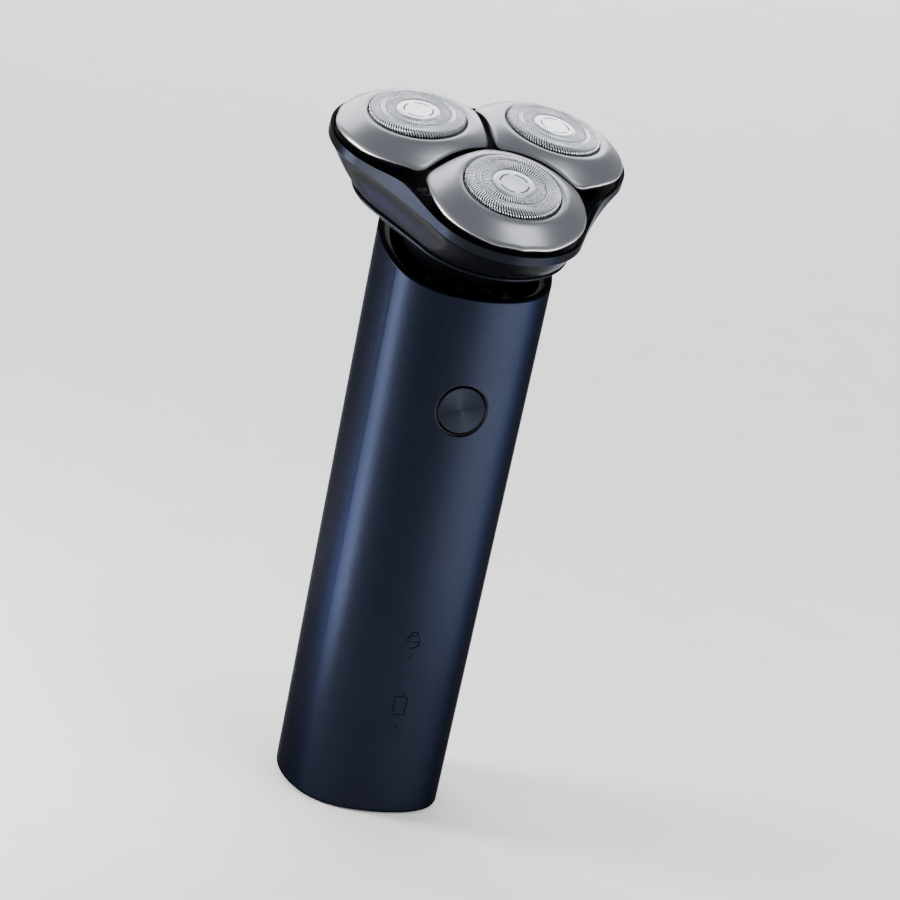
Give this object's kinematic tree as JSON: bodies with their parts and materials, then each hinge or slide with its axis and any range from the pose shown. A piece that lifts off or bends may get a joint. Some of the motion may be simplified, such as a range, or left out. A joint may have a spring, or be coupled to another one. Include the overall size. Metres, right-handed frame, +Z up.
{
  "type": "electric shaver",
  "caption": "Cordless rotary electric shaver with a slim upright handle, flexing neck and a head of three floating round cutters",
  "frame": {"origin": "centre of the foot's flat face, on the surface the shaver stands on", "axes": "+Z up the handle; the power button and lights face -Y; +X is to the right seen from the front button side; the head leans 13.2 degrees toward -Y"},
  "size_m": [0.0634, 0.0583, 0.1494],
  "materials": {
    "navy_satin": "satin, fine texture",
    "navy_gloss": "polished",
    "navy_metal": "spun, anodised navy",
    "satin_metal": "satin",
    "foil_steel": "fine brushed",
    "black_plastic": "matte",
    "white_acetal": "smooth",
    "black_rubber": "matte",
    "plain_steel": "machined",
    "cell_wrap": "shrink wrap",
    "board_green": "solder mask",
    "light_pipe": "frosted"
  },
  "bodies": {
    "handle": {"handle_sleeve": "navy_satin", "bottom_cap": "navy_satin", "bottom_seal": "black_rubber", "port_gasket": "black_rubber", "charging_port": "plain_steel", "chassis_rear": "black_plastic", "chassis_front": "black_plastic", "circuit_board": "board_green", "board_screws": "plain_steel", "battery_cell": "cell_wrap", "battery_tabs": "plain_steel", "motor_can": "plain_steel", "motor_end_bell": "black_plastic", "motor_screws": "plain_steel", "tact_switch": "black_plastic", "button_gasket": "black_rubber", "lock_light_pipe": "light_pipe", "battery_light_pipe": "light_pipe", "top_collar": "black_plastic", "shaft_seal": "black_rubber", "neck_post": "black_plastic", "post_screws": "plain_steel"},
    "button": {"power_button": "navy_metal", "switch_plunger": "plain_steel"},
    "motor_shaft": {"drive_shaft": "plain_steel", "drive_pin": "plain_steel"},
    "gimbal": {"gimbal_ring": "plain_steel"},
    "neck": {"neck_skirt": "navy_gloss", "neck_magnets": "plain_steel"},
    "head": {"head_shell": "navy_gloss", "head_magnets": "plain_steel", "gear_plate": "plain_steel", "head_deck": "black_plastic", "head_screws": "plain_steel"},
    "drive_gear": {"drive_gear": "white_acetal"},
    "spindle_1": {"spindle_1": "plain_steel", "planet_gear_1": "white_acetal"},
    "petal_1": {"petal_1": "satin_metal", "petal_frame_1": "black_plastic", "cap_retainer_1": "black_plastic"},
    "cap_1": {"cap_1": "foil_steel"},
    "cutter_1": {"cutter_blades_1": "foil_steel", "cutter_hub_1": "white_acetal"},
    "spindle_2": {"spindle_2": "plain_steel", "planet_gear_2": "white_acetal"},
    "petal_2": {"petal_2": "satin_metal", "petal_frame_2": "black_plastic", "cap_retainer_2": "black_plastic"},
    "cap_2": {"cap_2": "foil_steel"},
    "cutter_2": {"cutter_blades_2": "foil_steel", "cutter_hub_2": "white_acetal"},
    "spindle_3": {"spindle_3": "plain_steel", "planet_gear_3": "white_acetal"},
    "petal_3": {"petal_3": "satin_metal", "petal_frame_3": "black_plastic", "cap_retainer_3": "black_plastic"},
    "cap_3": {"cap_3": "foil_steel"},
    "cutter_3": {"cutter_blades_3": "foil_steel", "cutter_hub_3": "white_acetal"}
  },
  "joints": [
    {"name": "button_press", "type": "slide", "parent": "handle", "child": "button", "axis": [0, 1, 0], "range_m": [0, 0.0006], "stiffness_N_per_m": 1500},
    {"name": "motor_spin", "type": "hinge", "parent": "handle", "child": "motor_shaft", "pos_m": [0, 0, 0.1257], "axis": [0, 0, 1], "continuous": true},
    {"name": "neck_pitch", "type": "hinge", "parent": "handle", "child": "gimbal", "pos_m": [0, 0, 0.1257], "axis": [1, 0, 0], "range_deg": [-5, 5], "stiffness_Nm_per_rad": 1.2},
    {"name": "neck_roll", "type": "hinge", "parent": "gimbal", "child": "neck", "pos_m": [0, 0, 0.1257], "axis": [0, 0.9736, 0.2284], "range_deg": [-5, 5], "stiffness_Nm_per_rad": 1.2},
    {"name": "head_release", "type": "slide", "parent": "neck", "child": "head", "axis": [0, -0.2284, 0.9736], "range_m": [0, 0.025]},
    {"name": "drive_gear_spin", "type": "hinge", "parent": "head", "child": "drive_gear", "pos_m": [0, 0, 0.1257], "axis": [0, -0.2284, 0.9736], "continuous": true},
    {"name": "spindle_spin_1", "type": "hinge", "parent": "head", "child": "spindle_1", "pos_m": [0, -0.01606, 0.12193], "axis": [0, -0.2284, 0.9736], "continuous": true},
    {"name": "petal_flex_1", "type": "hinge", "parent": "head", "child": "petal_1", "pos_m": [0, -0.01932, 0.13579], "axis": [1, 0, 0], "range_deg": [-2.5, 2.5], "stiffness_Nm_per_rad": 0.4},
    {"name": "cap_float_1", "type": "slide", "parent": "petal_1", "child": "cap_1", "axis": [0, -0.3289, 0.9444], "range_m": [-0.001, 0], "stiffness_N_per_m": 800, "springref_m": 0.0005},
    {"name": "cutter_spin_1", "type": "hinge", "parent": "cap_1", "child": "cutter_1", "pos_m": [0, -0.02136, 0.14164], "axis": [0, -0.3289, 0.9444], "continuous": true},
    {"name": "spindle_spin_2", "type": "hinge", "parent": "head", "child": "spindle_2", "pos_m": [0.01429, 0.00803, 0.12758], "axis": [0, -0.2284, 0.9736], "continuous": true},
    {"name": "petal_flex_2", "type": "hinge", "parent": "head", "child": "petal_2", "pos_m": [0.01429, 0.00478, 0.14144], "axis": [-0.5, 0.8431, 0.1978], "range_deg": [-2.5, 2.5], "stiffness_Nm_per_rad": 0.4},
    {"name": "cap_float_2", "type": "slide", "parent": "petal_2", "child": "cap_2", "axis": [0.0905, -0.1762, 0.9802], "range_m": [-0.001, 0], "stiffness_N_per_m": 800, "springref_m": 0.0005},
    {"name": "cutter_spin_2", "type": "hinge", "parent": "cap_2", "child": "cutter_2", "pos_m": [0.01485, 0.00369, 0.14752], "axis": [0.0905, -0.1762, 0.9802], "continuous": true},
    {"name": "spindle_spin_3", "type": "hinge", "parent": "head", "child": "spindle_3", "pos_m": [-0.01429, 0.00803, 0.12758], "axis": [0, -0.2284, 0.9736], "continuous": true},
    {"name": "petal_flex_3", "type": "hinge", "parent": "head", "child": "petal_3", "pos_m": [-0.01429, 0.00478, 0.14144], "axis": [-0.5, -0.8431, -0.1978], "range_deg": [-2.5, 2.5], "stiffness_Nm_per_rad": 0.4},
    {"name": "cap_float_3", "type": "slide", "parent": "petal_3", "child": "cap_3", "axis": [-0.0905, -0.1762, 0.9802], "range_m": [-0.001, 0], "stiffness_N_per_m": 800, "springref_m": 0.0005},
    {"name": "cutter_spin_3", "type": "hinge", "parent": "cap_3", "child": "cutter_3", "pos_m": [-0.01485, 0.00369, 0.14752], "axis": [-0.0905, -0.1762, 0.9802], "continuous": true}
  ],
  "couplings": [
    {"joint": "drive_gear_spin", "follows": "motor_spin", "ratio": 1},
    {"joint": "spindle_spin_1", "follows": "motor_spin", "ratio": -0.69231},
    {"joint": "cutter_spin_1", "follows": "motor_spin", "ratio": -0.69231},
    {"joint": "spindle_spin_2", "follows": "motor_spin", "ratio": -0.69231},
    {"joint": "cutter_spin_2", "follows": "motor_spin", "ratio": -0.69231},
    {"joint": "spindle_spin_3", "follows": "motor_spin", "ratio": -0.69231},
    {"joint": "cutter_spin_3", "follows": "motor_spin", "ratio": -0.69231}
  ]
}
